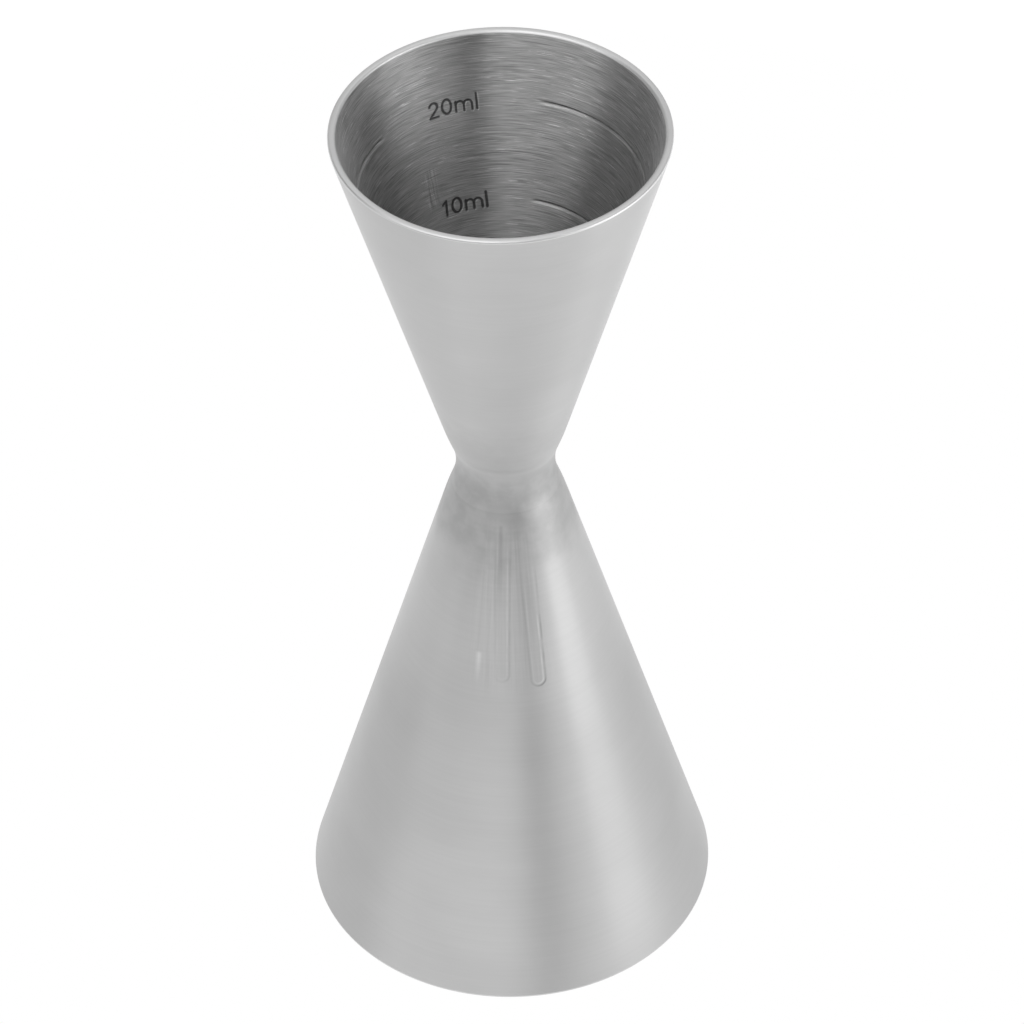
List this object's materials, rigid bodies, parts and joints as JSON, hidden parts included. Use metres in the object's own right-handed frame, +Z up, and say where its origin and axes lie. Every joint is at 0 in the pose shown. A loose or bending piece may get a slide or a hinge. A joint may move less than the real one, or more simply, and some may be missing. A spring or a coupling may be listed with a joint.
{
  "type": "bar jigger",
  "caption": "Double-ended conical steel measure: a small and a large cup joined at a narrow waist, with fill lines inside the small cup.",
  "frame": {"origin": "centre of the circle that the large cup's rim stands on", "axes": "+Z up along the axis of both cups, from the large cup to the small one; the fill numbers face the front, -Y"},
  "size_m": [0.0542, 0.0542, 0.1267],
  "materials": {
    "small_cup_steel": "satin outside, fine turned lines inside, polished rim",
    "large_cup_steel": "satin outside, fine turned lines inside, polished rim",
    "weld_steel": "dressed smooth and polished a little brighter than the cups"
  },
  "bodies": {
    "root": {"small_cup": "small_cup_steel", "large_cup": "large_cup_steel", "waist_weld": "weld_steel"}
  },
  "joints": []
}
